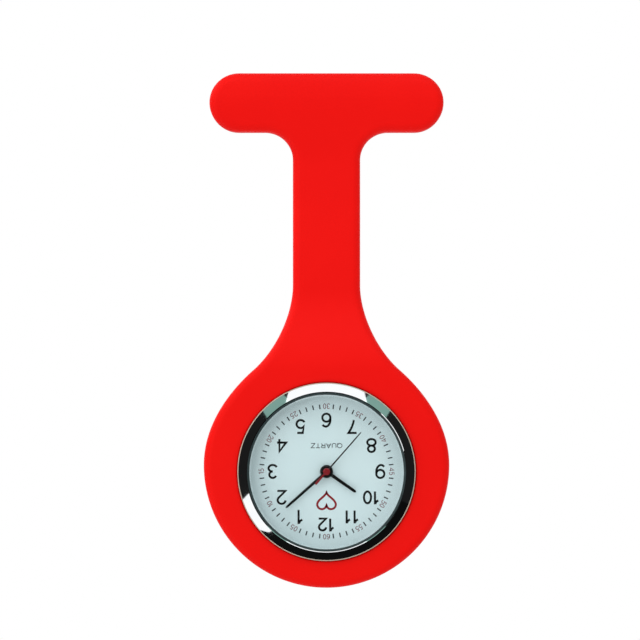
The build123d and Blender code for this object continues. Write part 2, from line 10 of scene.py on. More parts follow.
import bmesh
import bpy
import numpy as np
from mathutils import Matrix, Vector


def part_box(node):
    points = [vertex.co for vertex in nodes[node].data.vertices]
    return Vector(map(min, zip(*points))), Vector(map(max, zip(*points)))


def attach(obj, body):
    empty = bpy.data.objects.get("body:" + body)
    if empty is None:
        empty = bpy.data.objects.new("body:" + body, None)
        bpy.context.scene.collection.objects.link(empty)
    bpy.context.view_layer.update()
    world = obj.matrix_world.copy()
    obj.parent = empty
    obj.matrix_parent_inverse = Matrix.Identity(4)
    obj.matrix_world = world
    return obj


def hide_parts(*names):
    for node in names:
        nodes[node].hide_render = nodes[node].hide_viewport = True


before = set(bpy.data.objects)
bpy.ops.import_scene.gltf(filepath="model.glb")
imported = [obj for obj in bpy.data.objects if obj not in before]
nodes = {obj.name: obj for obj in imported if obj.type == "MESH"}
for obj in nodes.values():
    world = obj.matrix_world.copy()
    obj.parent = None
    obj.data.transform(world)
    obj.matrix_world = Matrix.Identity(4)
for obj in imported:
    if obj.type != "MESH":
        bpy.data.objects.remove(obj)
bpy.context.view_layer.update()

print("nodes in the frame:", len(nodes))

# %% [markdown]
# Everything below is worked out in millimetres and scaled to metres once, where a mesh is made. The watch
# head turns about one line, the hand axis. Its height comes from the fourth wheel, which sits on it.

# %% Sizes that the pieces share
MM = 0.001


def box_mm(node):
    """Lowest and highest corner of a CAD node, in millimetres."""
    low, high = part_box(node)
    return np.array(low) / MM, np.array(high) / MM


wheel_low, wheel_high = box_mm("fourth_wheel")
hand_z = round(float(wheel_low[2] + wheel_high[2]) / 2, 2)
dial_y = round(float(box_mm("dial")[0][1]), 3)
print("hand axis at z", hand_z, "dial face at y", dial_y)

# %% [markdown]
# A surface is a grid of points with two parameters. The faces only depend on the grid's size and on which
# of its two directions close on themselves, so one helper gives the corners of every cell as whole
# arrays.

# %% From a grid to a mesh
def cells(rows, columns, wrap_rows=False, wrap_columns=False):
    """Four corner numbers for each cell of a grid; a wrapped direction joins its last line to its first."""
    row = np.arange(rows if wrap_rows else rows - 1)[:, None]
    column = np.arange(columns if wrap_columns else columns - 1)[None, :]
    here, there = row * columns, (row + 1) % rows * columns
    after = (column + 1) % columns
    return np.stack([here + column, here + after, there + after, there + column], axis=-1).reshape(-1, 4)


def joined(parts):
    """Several (points, faces) pairs as one pair: each part's face numbers move up by the points before it."""
    starts = np.cumsum([0] + [len(points) for points, _ in parts[:-1]])
    faces = [part[1] + start for part, start in zip(parts, starts)]
    return np.concatenate([points for points, _ in parts]), np.concatenate(faces)


def closed_object(name, points, faces):
    """Object from points in millimetres; points that fall together are merged, and the faces look outward."""
    mesh = bpy.data.meshes.new(name)
    mesh.from_pydata((points * MM).tolist(), [], faces.tolist())
    work = bmesh.new()
    work.from_mesh(mesh)
    bmesh.ops.remove_doubles(work, verts=work.verts, dist=1e-7)
    bmesh.ops.recalc_face_normals(work, faces=work.faces)
    work.to_mesh(mesh)
    work.free()
    made = bpy.data.objects.new(name, mesh)
    bpy.context.scene.collection.objects.link(made)
    return made


def smoothed(mesh, crease):
    """Smooth shading, except where the surface turns by more than crease degrees."""
    mesh.shade_smooth()
    mesh.set_sharp_from_angle(angle=math.radians(crease))


def make_piece(name, surface, material, body, stands_for=(), crease=32.0):
    """Piece from a surface, which is (points, faces): it rides on a body and may stand for CAD nodes."""
    piece = closed_object(name, *surface)
    mesh = piece.data
    smoothed(mesh, crease)
    mesh.materials.append(material)
    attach(piece, body)
    if stands_for:
        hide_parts(*stands_for)
    print(f"{name}: {len(mesh.vertices)} points, {len(mesh.polygons)} faces")
    return piece


# %% [markdown]
# A lathe makes most of a watch case. In numbers, a lathe is an outline of (radius, depth) points carried
# round a circle. Real edges are never sharp, so the outline's corners are softened first.

# %% Turning on a lathe
def softened(outline, reach, steps=5, closed=True):
    """Outline with a parabola for each corner, which leaves and joins the sides reach away from it."""
    corner = np.asarray(outline, float)
    before, after = np.roll(corner, 1, axis=0) - corner, np.roll(corner, -1, axis=0) - corner
    long_before = np.linalg.norm(before, axis=1, keepdims=True)
    long_after = np.linalg.norm(after, axis=1, keepdims=True)
    start = corner + before / long_before * np.minimum(reach, long_before * 0.4)
    end = corner + after / long_after * np.minimum(reach, long_after * 0.4)
    t = np.linspace(0, 1, steps)[None, :, None]
    curve = (1 - t) ** 2 * start[:, None] + 2 * t * (1 - t) * corner[:, None] + t**2 * end[:, None]
    if closed:
        return curve.reshape(-1, 2)
    return np.concatenate([corner[:1], curve[1:-1].reshape(-1, 2), corner[-1:]])


def turned(outline, segments=256, ring=True):
    """Each (radius, depth) point goes round: X, Z are radius times cosine, sine, and Y is the depth."""
    radius, depth = np.asarray(outline, float).T[:, :, None]
    angle = np.linspace(0, 2 * np.pi, segments, endpoint=False)[None, :]
    x, z = radius * np.cos(angle), hand_z + radius * np.sin(angle)
    points = np.stack([x, depth + 0 * angle, z], axis=-1).reshape(-1, 3)
    return points, cells(len(outline), segments, ring, True)


# %% [markdown]
# The crown and its stem reach out sideways, at three o'clock. The case is drilled for them and the rubber
# has a pocket. A hole that runs across a turned surface has no tidy grid, so this one is cut after
# turning, as in a workshop.

# %% Boring along the stem
crown_low, crown_high = box_mm("crown")
stem_y, stem_z = float(crown_low[1] + crown_high[1]) / 2, float(crown_low[2] + crown_high[2]) / 2
print("stem at y", round(stem_y, 3), "z", round(stem_z, 3))


def bored(piece, radius, start_x, end_x, crease=32.0, segments=64):
    """Subtract a plug: its points are x along the stem, radius times cosine and sine of an angle across."""
    angle = np.linspace(0, 2 * np.pi, segments, endpoint=False)[None, :]
    reach, x = np.array([(0, start_x), (radius, start_x), (radius, end_x), (0, end_x)], float).T[:, :, None]
    y, z = stem_y + reach * np.cos(angle), stem_z + reach * np.sin(angle)
    points = np.stack([x + 0 * angle, y, z], axis=-1)
    plug = closed_object("stem_plug", points.reshape(-1, 3), cells(4, segments, False, True))
    cut = piece.modifiers.new("stem_bore", "BOOLEAN")
    cut.operation, cut.solver, cut.object = "DIFFERENCE", "EXACT", plug
    drilled = bpy.data.meshes.new_from_object(piece.evaluated_get(bpy.context.evaluated_depsgraph_get()))
    before = len(piece.data.polygons)
    piece.modifiers.clear()
    piece.data = drilled
    bpy.data.objects.remove(plug)
    smoothed(drilled, crease)
    print(f"{piece.name}: {before} faces before boring, {len(drilled.polygons)} after")


# %% [markdown]
# A material starts from what the real thing is made of. Its colours are given as on a paint chart and
# turned to linear light, which is what a shader adds and multiplies. One small function places a node and
# wires it up.

# %% Colours and nodes
def linear(chart):
    """sRGB hex such as #c80a0a to linear red, green, blue and alpha."""
    value = np.array([int(chart[i : i + 2], 16) for i in (1, 3, 5)]) / 255
    light = np.where(value <= 0.04045, value / 12.92, ((value + 0.055) / 1.055) ** 2.4)
    return (*light.tolist(), 1.0)


def add(tree, kind, settings=None, **links):
    """New node: settings go to properties, or to inputs by name or number; each link is input_name=output."""
    node = tree.nodes.new(kind)
    for key, value in (settings or {}).items():
        if isinstance(key, int) or key in node.inputs:
            node.inputs[key].default_value = value
        else:
            setattr(node, key, value)
    for key, socket in links.items():
        target = node.inputs[int(key[1:])] if key[1:].isdigit() else node.inputs[key.replace("_", " ")]
        tree.links.new(socket, target)
    return node


def new_material(name):
    """Empty node material, with its output and its object coordinates measured from the hand axis."""
    material = bpy.data.materials.new(name)
    material.use_nodes = True
    tree = material.node_tree
    tree.nodes.clear()
    output = add(tree, "ShaderNodeOutputMaterial")
    place = add(tree, "ShaderNodeTexCoord")
    to_axis = {"Location": (0, 0, -hand_z * MM)}
    centred = add(tree, "ShaderNodeMapping", to_axis, Vector=place.outputs["Object"])
    return material, tree, output, centred.outputs["Vector"]


def paint(node, material):
    """Every slot of a CAD node takes this material."""
    mesh = nodes[node].data
    for index in range(len(mesh.materials)):
        mesh.materials[index] = material
    if not mesh.materials:
        mesh.materials.append(material)


# %% [markdown]
# ## The silicone cover
# It is one piece of red silicone rubber, pressed in a bead-blasted steel mould. The blasting leaves a
# fine grain on the rubber, which scatters the gloss, and the soft skin picks up a faint pale bloom of
# dust and handling. So the colour is a deep saturated red that hardly varies, the gloss is broad and
# weak, and a sheen gives the bloom.

# %% Moulded silicone rubber
silicone, tree, output, here = new_material("moulded_silicone_rubber")
broad = {"Scale": 1 / (14 * MM), "Detail": 3.0, "Roughness": 0.55}
fine = {"Scale": 1 / (0.22 * MM), "Detail": 2.0, "Roughness": 0.6}
cloud = add(tree, "ShaderNodeTexNoise", broad, Vector=here)
grain = add(tree, "ShaderNodeTexNoise", fine, Vector=here)
red = add(tree, "ShaderNodeMix", {"data_type": "RGBA", 6: linear("#f20a02"), 7: linear("#e80200")},
          Factor=cloud.outputs["Fac"])
dulled = add(tree, "ShaderNodeMapRange", {"To Min": 0.44, "To Max": 0.56}, Value=cloud.outputs["Fac"])
relief = add(tree, "ShaderNodeBump", {"Strength": 0.22, "Distance": 0.03 * MM}, Height=grain.outputs["Fac"])
skin = {"IOR": 1.41, "Specular IOR Level": 0.14, "Sheen Weight": 0.01, "Sheen Roughness": 0.45,
        "Sheen Tint": linear("#ffd9d2")}
rubber = add(tree, "ShaderNodeBsdfPrincipled", skin, Base_Color=red.outputs[2],
             Roughness=dulled.outputs["Result"], Normal=relief.outputs["Normal"])
tree.links.new(rubber.outputs[0], output.inputs[0])

# %% [markdown]
# The cover's outline is a bar with round ends, two fillets, a neck and a flare into the disc. One grid
# covers it: one parameter runs once round the outline, the other runs from the middle of the front, over
# the rounded edge, down the wall and in again over the back. Each outline point has a partner it is
# joined to: on the bar and the neck that is the middle line, on the disc it is the edge of the watch
# opening. The left half mirrors the right half.

# %% Outline and partners
def run(start, end, steps):
    """Evenly spaced points from start towards end, the end left out."""
    t = np.arange(steps)[:, None] / steps
    return np.array(start, float) * (1 - t) + np.array(end, float) * t


def swing(centre, radius, start, end, steps):
    """Evenly spaced points on a circle from one angle towards another in degrees, the end left out."""
    angle = np.radians(start + (end - start) * np.arange(steps) / steps)
    return np.array(centre) + radius * np.stack([np.cos(angle), np.sin(angle)], axis=-1)


def bezier(p0, p1, p2, p3, steps):
    """Cubic curve: the four points weighted by the terms of ((1-t) + t) cubed, the end left out."""
    t = np.arange(steps)[:, None] / steps
    p0, p1, p2, p3 = (np.array(p, float) for p in (p0, p1, p2, p3))
    return (1 - t) ** 3 * p0 + 3 * t * (1 - t) ** 2 * p1 + 3 * t**2 * (1 - t) * p2 + t**3 * p3


def both_halves(parts, last):
    """Right half, then its mirror image back to the start, without the two points on the middle line."""
    half = np.concatenate(parts + [np.array([last], float)])
    return np.concatenate([half, half[-2:0:-1] * [-1, 1]])


bar_end_x, bar_half = 14.8, 5.0
fillet, neck_half = 4.7, 5.7
fillet_x, fillet_z = neck_half + fillet, -bar_half - fillet
flare_z = -30.9
disc_z, disc_radius = -61.2, 20.7
shoulder, slope = np.array([11.9, -44.8]), np.array([0.7193, -0.6947])
outline = both_halves([
    run((0, bar_half), (bar_end_x, bar_half), 37),
    swing((bar_end_x, 0), bar_half, 90, -90, 32),
    run((bar_end_x, -bar_half), (fillet_x, -bar_half), 11),
    swing((fillet_x, fillet_z), fillet, 90, 180, 50),
    run((neck_half, fillet_z), (neck_half, flare_z), 53),
    bezier((neck_half, flare_z), (neck_half, flare_z - 4.05), shoulder - 5.72 * slope, shoulder, 40),
    bezier(shoulder, shoulder + slope, (disc_radius, disc_z + 9.32), (disc_radius, disc_z), 50),
    swing((0, disc_z), disc_radius, 0, -90, 60),
], (0, disc_z - disc_radius))


def partners(slot_x, slot_z, opening):
    """Inner ends of the outline's rays: round a slot in the bar, down the neck, round the opening."""
    return both_halves([
        run((0, slot_z), (slot_x, slot_z), 37),
        run((slot_x, slot_z), (slot_x, -slot_z), 32),
        run((slot_x, -slot_z), (0, -slot_z), 37),
        run((0, -slot_z), (0, fillet_z), 24),
        run((0, fillet_z), (0, flare_z), 53),
        run((0, flare_z), (0, hand_z + opening), 40),
        swing((0, hand_z), opening, 90, 3, 50),
        swing((0, hand_z), opening, 3, -90, 60),
    ], (0, hand_z - opening))


print("outline points:", len(outline))

# %% Depth of the front and of the back
def ramp(z, high, low):
    """Smooth step from 0 above high to 1 below low: 3u squared minus 2u cubed."""
    u = np.clip((high - z) / (high - low), 0, 1)
    return u * u * (3 - 2 * u)


def front_depth(z):
    """The bar swells forward, the neck is thin, the disc is thick; the bar's top leans back as a cubic."""
    rise = np.clip((z - 1) / 5, 0, 1.1)
    top = 0.4 * rise * (1 - rise) ** 2 + (3 * rise**2 - 2 * rise**3) * 1.7 + 5.0 * (rise**3 - rise**2) * 0.85
    return -8.7 + 1.6 * ramp(z, 1, -11) - 3.5 * ramp(z, -32, -45) + np.where(z > 1, top, 0)


def back_depth(z):
    """Flat behind the bar, forward behind the neck, back again behind the disc."""
    return -2.6 - 1.5 * ramp(z, -4, -10) + 2.1 * ramp(z, -34, -45)


# %% Moulded cover
edge_radius = 1.3
forward = np.roll(outline, -1, axis=0) - np.roll(outline, 1, axis=0)
forward = forward / np.linalg.norm(forward, axis=1, keepdims=True)
outward = np.stack([-forward[:, 1], forward[:, 0]], axis=-1)
inset = outline - edge_radius * outward
phi = np.radians(np.linspace(90, 0, 11))[:, None, None]
bend = outline[None] - edge_radius * (1 - np.cos(phi)) * outward[None]
drop = edge_radius * (1 - np.sin(phi))[:, :, 0]


def half_shell(inner, depth, sign):
    """Rows from the inner partner to the inset line, then over the rounded edge: X and Z, then the depth."""
    t = np.linspace(0, 1, 15)[:-1, None, None]
    flat = (1 - t) * inner[None] + t * inset[None]
    plan = np.concatenate([flat, bend])
    fall = np.concatenate([np.zeros((len(flat), 1)), drop])
    return np.stack([plan[..., 0], depth(plan[..., 1]) + sign * fall, plan[..., 1]], axis=-1)


slot_x, slot_z = 14.5, 1.7
front_inner, back_inner = partners(bar_end_x, 0, 15.3), partners(slot_x, slot_z, 12.35)
front_shell, back_shell = half_shell(front_inner, front_depth, 1), half_shell(back_inner, back_depth, -1)
shell = np.concatenate([front_shell, back_shell[::-1]])
skin_faces = cells(shell.shape[0], len(outline), False, True)

lip_angle = np.concatenate([np.linspace(90, 3, 51)[:-1], 3 - 93 * np.arange(61) / 60])
lip_angle = np.radians(np.concatenate([lip_angle, 180 - lip_angle[-2:0:-1]]))
roll = np.radians(np.linspace(0, 90, 6))
front_lip = np.stack([15.3 - 0.3 * np.sin(roll), -10.6 + 0.3 * (1 - np.cos(roll))], axis=-1)
back_lip = np.stack([12.35 - 0.3 * np.sin(roll), -2.0 - 0.3 * (1 - np.cos(roll))], axis=-1)[::-1]
pocket = np.concatenate([front_lip, [[15.0, -9.4], [15.65, -9.4], [15.65, -3.1], [12.05, -3.1]], back_lip])
pocket_points = np.stack([pocket[:, 0, None] * np.cos(lip_angle), pocket[:, 1, None] + 0 * lip_angle,
                          hand_z + pocket[:, 0, None] * np.sin(lip_angle)], axis=-1).reshape(-1, 3)

half_rim = back_inner[:107]
rim = np.concatenate([half_rim, half_rim[-2:0:-1] * [-1, 1]])
undercut, bar_back, lip_y, floor_y = rim * [16.05 / slot_x, 2.25 / slot_z], -2.6, -3.15, -3.85
slot_rows = [(rim, bar_back), (rim, lip_y), (undercut, lip_y), (undercut, floor_y), (rim * 0.5, floor_y),
             (rim * 0, floor_y)]
slot_rings = [np.column_stack([row[:, 0], np.full(len(row), y), row[:, 1]]) for row, y in slot_rows]
cover_parts = [
    (shell.reshape(-1, 3), skin_faces),
    (pocket_points, cells(len(pocket), len(lip_angle), False, True)),
    (np.concatenate(slot_rings), cells(len(slot_rows), len(rim), False, True)),
]
cover_surface = joined(cover_parts)
moulded = make_piece("moulded_cover", cover_surface, silicone, "cover", ["silicone_cover"], 50)
bored(moulded, 2.3, -14.75, -18.8, crease=50)

# %% [markdown]
# ## The case and its bezel
# The case is turned from zinc alloy or steel, polished and chrome plated. The bezel slopes away from the
# glass, so it mirrors the room well off to the side: a window above gives the white arc, and the dark
# room gives the black. A slightly domed slope makes that reflection soft-edged, as polishing on a felt
# wheel does.

# %% Polished chrome plate
chrome, tree, output, here = new_material("polished_chrome_plate")
wisps = {"Scale": 1 / (1.6 * MM), "Detail": 4.0, "Roughness": 0.6}
haze = add(tree, "ShaderNodeTexNoise", wisps, Vector=here)
haze_rough = add(tree, "ShaderNodeMapRange", {"To Min": 0.035, "To Max": 0.075}, Value=haze.outputs["Fac"])
tint = add(tree, "ShaderNodeMix", {"data_type": "RGBA", 6: linear("#eceef0"), 7: linear("#e2e6e9")},
           Factor=haze.outputs["Fac"])
plate = add(tree, "ShaderNodeBsdfPrincipled", {"Metallic": 1.0}, Base_Color=tint.outputs[2],
            Roughness=haze_rough.outputs["Result"])
tree.links.new(plate.outputs[0], output.inputs[0])

# %% Case with a domed bezel
def domed(start, end, rise, steps=17):
    """Slope that swells outwards: the line from start to end, plus rise times 4t(1-t) along its normal."""
    start, end = np.array(start, float), np.array(end, float)
    t = np.linspace(0, 1, steps)[:, None]
    slant = end - start
    normal = np.array([-slant[1], slant[0]]) / np.linalg.norm(slant)
    return start + slant * t + normal * rise * 4 * t * (1 - t)


seat = softened([(13.38, -11.84), (13.38, -10.75), (12.9, -10.75), (12.9, -8.6), (13.35, -8.6), (13.35, -4.2),
                 (14.05, -4.2), (14.05, -3.9), (14.25, -3.9), (14.25, -3.1), (15.1, -3.1), (15.6, -3.6),
                 (15.6, -9.38), (14.95, -9.38), (14.95, -11.02)], 0.04, closed=False)
bezel = domed((14.93, -11.12), (13.5, -11.9), 0.03)
case_surface = turned(np.concatenate([seat, bezel]))
case = make_piece("turned_case", case_surface, chrome, "cover", ["watch_case"])
bored(case, 1.2, -12.0, -16.3)

# %% [markdown]
# The very edge of the bezel is a turned land a tenth of a millimetre wide that the felt wheel never
# reaches. It stays satin, so it gathers light from the whole room and draws a thin warm line between the
# black chrome and the rubber.

# %% Satin land round the bezel
satin_land, tree, output, here = new_material("satin_turned_land")
tool_marks = add(tree, "ShaderNodeTexNoise", {"Scale": 1 / (0.15 * MM), "Detail": 2.0}, Vector=here)
land_tone = add(tree, "ShaderNodeMix", {"data_type": "RGBA", 6: linear("#dcc9b8"), 7: linear("#cdb8a6")},
                Factor=tool_marks.outputs["Fac"])
scatter = add(tree, "ShaderNodeBsdfPrincipled", {"Metallic": 0.25, "Roughness": 0.5},
              Base_Color=land_tone.outputs[2])
tree.links.new(scatter.outputs[0], output.inputs[0])
land = softened([(14.8, -11.0), (14.98, -11.0), (14.98, -11.14), (14.88, -11.2), (14.8, -11.18)], 0.02)
make_piece("bezel_land", turned(land), satin_land, "cover")

# %% [markdown]
# ## The crystal and its seal
# The glass is a flat mineral-glass disc with a ground chamfer, pressed into a black rubber ring. The
# chamfer bends the view of the ring into the thin dark line round the dial. The disc is a closed solid,
# so light refracts on both faces. For shadows and scattered light the glass steps aside, because light
# through glass takes far too many samples to find.

# %% Mineral glass
glass, tree, output, here = new_material("mineral_glass")
smear = add(tree, "ShaderNodeTexNoise", {"Scale": 1 / (6 * MM), "Detail": 2.0}, Vector=here)
smear_rough = add(tree, "ShaderNodeMapRange", {"To Min": 0.0, "To Max": 0.02}, Value=smear.outputs["Fac"])
pane = {"IOR": 1.5, "Transmission Weight": 1.0, "Base Color": linear("#f7fdfc")}
clear = add(tree, "ShaderNodeBsdfPrincipled", pane, Roughness=smear_rough.outputs["Result"])
open_way = add(tree, "ShaderNodeBsdfTransparent")
path = add(tree, "ShaderNodeLightPath")
aside = add(tree, "ShaderNodeMath", {"operation": "MAXIMUM"}, _0=path.outputs["Is Shadow Ray"],
            _1=path.outputs["Is Diffuse Ray"])
through = add(tree, "ShaderNodeMixShader", None, Fac=aside.outputs[0], _1=clear.outputs[0],
              _2=open_way.outputs[0])
tree.links.new(through.outputs[0], output.inputs[0])

# %% Moulded black rubber
seal_rubber, tree, output, here = new_material("moulded_black_rubber")
bloom = add(tree, "ShaderNodeTexNoise", {"Scale": 1 / (0.8 * MM), "Detail": 3.0}, Vector=here)
black = add(tree, "ShaderNodeMix", {"data_type": "RGBA", 6: linear("#223436"), 7: linear("#34494b")},
            Factor=bloom.outputs["Fac"])
soft_black = add(tree, "ShaderNodeBsdfPrincipled", {"Roughness": 0.55, "IOR": 1.5},
                 Base_Color=black.outputs[2])
tree.links.new(soft_black.outputs[0], output.inputs[0])

# %% Crystal and seal
inner_y, outer_y, glass_radius = -10.76, -11.85, 12.98
lens = turned([(0, inner_y), (6.0, inner_y), (glass_radius, inner_y), (glass_radius, -11.68),
               (12.74, outer_y), (6.0, outer_y), (0, outer_y)], ring=False)
make_piece("mineral_crystal", lens, glass, "cover", ["crystal"], crease=20)
seal_ring = softened([(13.0, -10.76), (13.37, -10.76), (13.37, -11.74), (13.0, -11.66)], 0.05)
make_piece("crystal_seal", turned(seal_ring), seal_rubber, "cover", ["crystal_gasket"])

# %% [markdown]
# ## The dial
# A dial of this price is a brass blank sprayed with a pale satin lacquer and pad-printed. The lacquer is
# cool and slightly green against warm skin and red rubber. Under a loupe it has a fine orange peel, which
# softens its gloss.

# %% Sprayed satin lacquer
lacquer, tree, output, here = new_material("sprayed_satin_lacquer")
drift = add(tree, "ShaderNodeTexNoise", {"Scale": 1 / (7 * MM), "Detail": 2.0}, Vector=here)
peel = add(tree, "ShaderNodeTexNoise", {"Scale": 1 / (0.35 * MM), "Detail": 2.0}, Vector=here)
pale = add(tree, "ShaderNodeMix", {"data_type": "RGBA", 6: linear("#dceff4"), 7: linear("#e1f2f6")},
           Factor=drift.outputs["Fac"])
skin_relief = add(tree, "ShaderNodeBump", {"Strength": 0.15, "Distance": 0.01 * MM},
                  Height=peel.outputs["Fac"])
satin = add(tree, "ShaderNodeBsdfPrincipled", {"Roughness": 0.42, "IOR": 1.5}, Base_Color=pale.outputs[2],
            Normal=skin_relief.outputs["Normal"])
tree.links.new(satin.outputs[0], output.inputs[0])
paint("dial", lacquer)

# %% [markdown]
# ## The print
# Numerals are drawn here as a sign writer would: each one is a few strokes of a pen of constant width. A
# stroke is a path of lines and parts of ellipses; its outline stands half a pen's width to each side. The
# glyph's cell is 1 high.

# %% Strokes of a pen
def bow(centre_x, centre_y, radius_x, radius_y, start, end):
    """Part of an ellipse: centre plus radii times cosine and sine of an angle that goes from start to end."""
    steps = max(5, int(abs(end - start) / 11))
    angle = np.radians(np.linspace(start, end, steps))
    return np.stack([centre_x + radius_x * np.cos(angle), centre_y + radius_y * np.sin(angle)], axis=-1)


def line(*points):
    """Straight strokes from point to point."""
    return np.array(points, float)


def ribbon(path, width, back, front):
    """Flat bar along a path: its edges stand off along the mean of two neighbouring normals."""
    closed = np.allclose(path[0], path[-1])
    if closed:
        path = path[:-1]
    step = np.roll(path, -1, axis=0) - path
    step = step / np.linalg.norm(step, axis=1, keepdims=True)
    ahead, behind = step.copy(), np.roll(step, 1, axis=0)
    if not closed:
        ahead[-1], behind[0] = behind[-1], ahead[0]
    side_ahead, side_behind = ahead[:, ::-1] * [-1, 1], behind[:, ::-1] * [-1, 1]
    mean = side_ahead + side_behind
    mean = mean / np.linalg.norm(mean, axis=1, keepdims=True)
    reach = width / 2 / np.clip((mean * side_ahead).sum(axis=1, keepdims=True), 0.45, 1)
    left, right = path + mean * reach, path - mean * reach
    corners = ((left, back), (left, front), (right, front), (right, back))
    ring = [np.column_stack([side, np.full(len(path), depth)]) for side, depth in corners]
    points = np.stack(ring, axis=1).reshape(-1, 3)
    faces = cells(len(path), 4, closed, True)
    if not closed:
        last = 4 * (len(path) - 1)
        faces = np.concatenate([faces, [[0, 1, 2, 3], [last, last + 3, last + 2, last + 1]]])
    return points, faces


# %% The alphabet of this dial
six = [bow(0.26, 0.27, 0.24, 0.27, 90, 450), bow(0.30, 0.40, 0.28, 0.47, 200, 48)]
GLYPHS = {
    "0": (0.48, [bow(0.24, 0.435, 0.23, 0.435, 90, 450)]),
    "1": (0.30, [np.concatenate([bow(-0.02, 0.94, 0.26, 0.28, 285, 345), line((0.27, 0.87), (0.27, 0))])]),
    "2": (0.50, [np.concatenate([bow(0.25, 0.62, 0.235, 0.25, 175, -38), line((0.02, 0), (0.50, 0))])]),
    "3": (0.50, [bow(0.24, 0.655, 0.205, 0.215, 160, -90), bow(0.24, 0.222, 0.25, 0.222, 90, -162)]),
    "4": (0.54, [line((0.40, 0.0), (0.40, 0.84), (0.0, 0.24), (0.54, 0.24))]),
    "5": (0.50, [np.concatenate([line((0.45, 0.87), (0.12, 0.87), (0.06, 0.43)),
                                 bow(0.24, 0.27, 0.25, 0.27, 122, -152)])]),
    "6": (0.50, six),
    "7": (0.50, [line((0.0, 0.87), (0.49, 0.87), (0.37, 0.66), (0.27, 0.42), (0.20, 0.18), (0.17, 0))]),
    "8": (0.50, [bow(0.25, 0.655, 0.205, 0.215, 90, 450), bow(0.25, 0.222, 0.25, 0.222, 90, 450)]),
    "9": (0.50, [[0.52, 0.87] - stroke for stroke in six]),
    "Q": (0.66, [bow(0.33, 0.435, 0.32, 0.435, 90, 450), line((0.42, 0.2), (0.64, -0.04))]),
    "U": (0.56, [np.concatenate([line((0.02, 0.87)), bow(0.28, 0.27, 0.26, 0.27, 180, 360),
                                 line((0.54, 0.87))])]),
    "A": (0.62, [line((0, 0), (0.31, 0.87), (0.62, 0)), line((0.12, 0.3), (0.5, 0.3))]),
    "R": (0.56, [np.concatenate([line((0.03, 0), (0.03, 0.87)), bow(0.32, 0.655, 0.2, 0.215, 90, -90),
                                 line((0.03, 0.44))]), line((0.3, 0.44), (0.54, 0))]),
    "T": (0.54, [line((0, 0.87), (0.54, 0.87)), line((0.27, 0.87), (0.27, 0))]),
    "Z": (0.54, [line((0.02, 0.87), (0.52, 0.87), (0.0, 0), (0.54, 0))]),
}


def lettering(text, height, gap, stretch=1.0):
    """Strokes of a word centred on (0, 0): each glyph starts a gap after the last, all wider by stretch."""
    widths = np.array([GLYPHS[c][0] for c in text])
    starts = np.concatenate([[0], np.cumsum(widths + gap)[:-1]]) - (widths.sum() + gap * (len(text) - 1)) / 2
    size = [height * stretch, height]
    return [(stroke + [start, -0.435]) * size for c, start in zip(text, starts) for stroke in GLYPHS[c][1]]


# %% [markdown]
# The dial hangs upside down. A clock angle runs clockwise from the twelve, which points down here, so a
# direction at angle a is (-sin a, -cos a) across and up. Anything upright on the dial is turned by half a
# turn for us.

# %% From the dial's frame to the watch's
def on_dial(strokes, pen, centre_angle, centre_radius, lean=0.0):
    """Ribbons of ink: strokes turn by lean degrees, move to a clock angle and radius, then hang."""
    turn = math.radians(-lean)
    spin = np.array([[math.cos(turn), math.sin(turn)], [-math.sin(turn), math.cos(turn)]])
    clock = math.radians(centre_angle)
    at = centre_radius * np.array([math.sin(clock), math.cos(clock)])
    inked = []
    for stroke in strokes:
        points, faces = ribbon(stroke @ spin + at, pen, 0.005, -0.012)
        hung = np.stack([-points[:, 0], dial_y + points[:, 2], hand_z - points[:, 1]], axis=-1)
        inked.append((hung, faces))
    return inked


def ink_material(name, thin, thick):
    """Pad-printing ink: an opaque, slightly glossy film whose shade shifts a little where it lies thinner."""
    ink, tree, output, here = new_material(name)
    spread = add(tree, "ShaderNodeTexNoise", {"Scale": 1 / (0.5 * MM), "Detail": 3.0}, Vector=here)
    tone = add(tree, "ShaderNodeMix", {"data_type": "RGBA", 6: linear(thin), 7: linear(thick)},
               Factor=spread.outputs["Fac"])
    film = add(tree, "ShaderNodeBsdfPrincipled", {"Roughness": 0.38, "IOR": 1.48}, Base_Color=tone.outputs[2])
    tree.links.new(film.outputs[0], output.inputs[0])
    return ink


black_ink = ink_material("pad_printed_black_ink", "#14181b", "#0a0d0f")
slate_ink = ink_material("pad_printed_slate_ink", "#39444a", "#283137")
mauve_ink = ink_material("pad_printed_mauve_ink", "#8d5f68", "#7d4a55")
crimson_ink = ink_material("pad_printed_crimson_ink", "#a3222e", "#8c1320")

# %% Hour numerals
numeral_radius = {12: 8.95, 3: 9.1, 9: 9.1, 6: 8.65}
hours = []
for hour in range(1, 13):
    tall = 2.28 if hour >= 10 else 2.5
    word = lettering(str(hour), tall, 0.22, 1.13)
    hours += on_dial(word, 0.36, hour * 30, numeral_radius.get(hour, 8.75))
make_piece("hour_numerals", joined(hours), black_ink, "cover")

# %% Minute track
minutes = np.array([m for m in range(60) if m % 5])
angles = np.radians(minutes * 6.0)
ticks = []
for angle in angles:
    away = np.array([math.sin(angle), math.cos(angle)])
    ticks += on_dial([np.array([10.57 * away, 11.35 * away])], 0.2, 0, 0)
make_piece("minute_ticks", joined(ticks), slate_ink, "cover")
figures = []
for minute in range(5, 61, 5):
    angle = minute * 6
    lean = angle + 180 if 90 < angle < 270 else angle
    figures += on_dial(lettering(f"{minute:02d}", 0.92, 0.2), 0.115, angle, 11.0, lean)
make_piece("minute_numerals", joined(figures), mauve_ink, "cover")

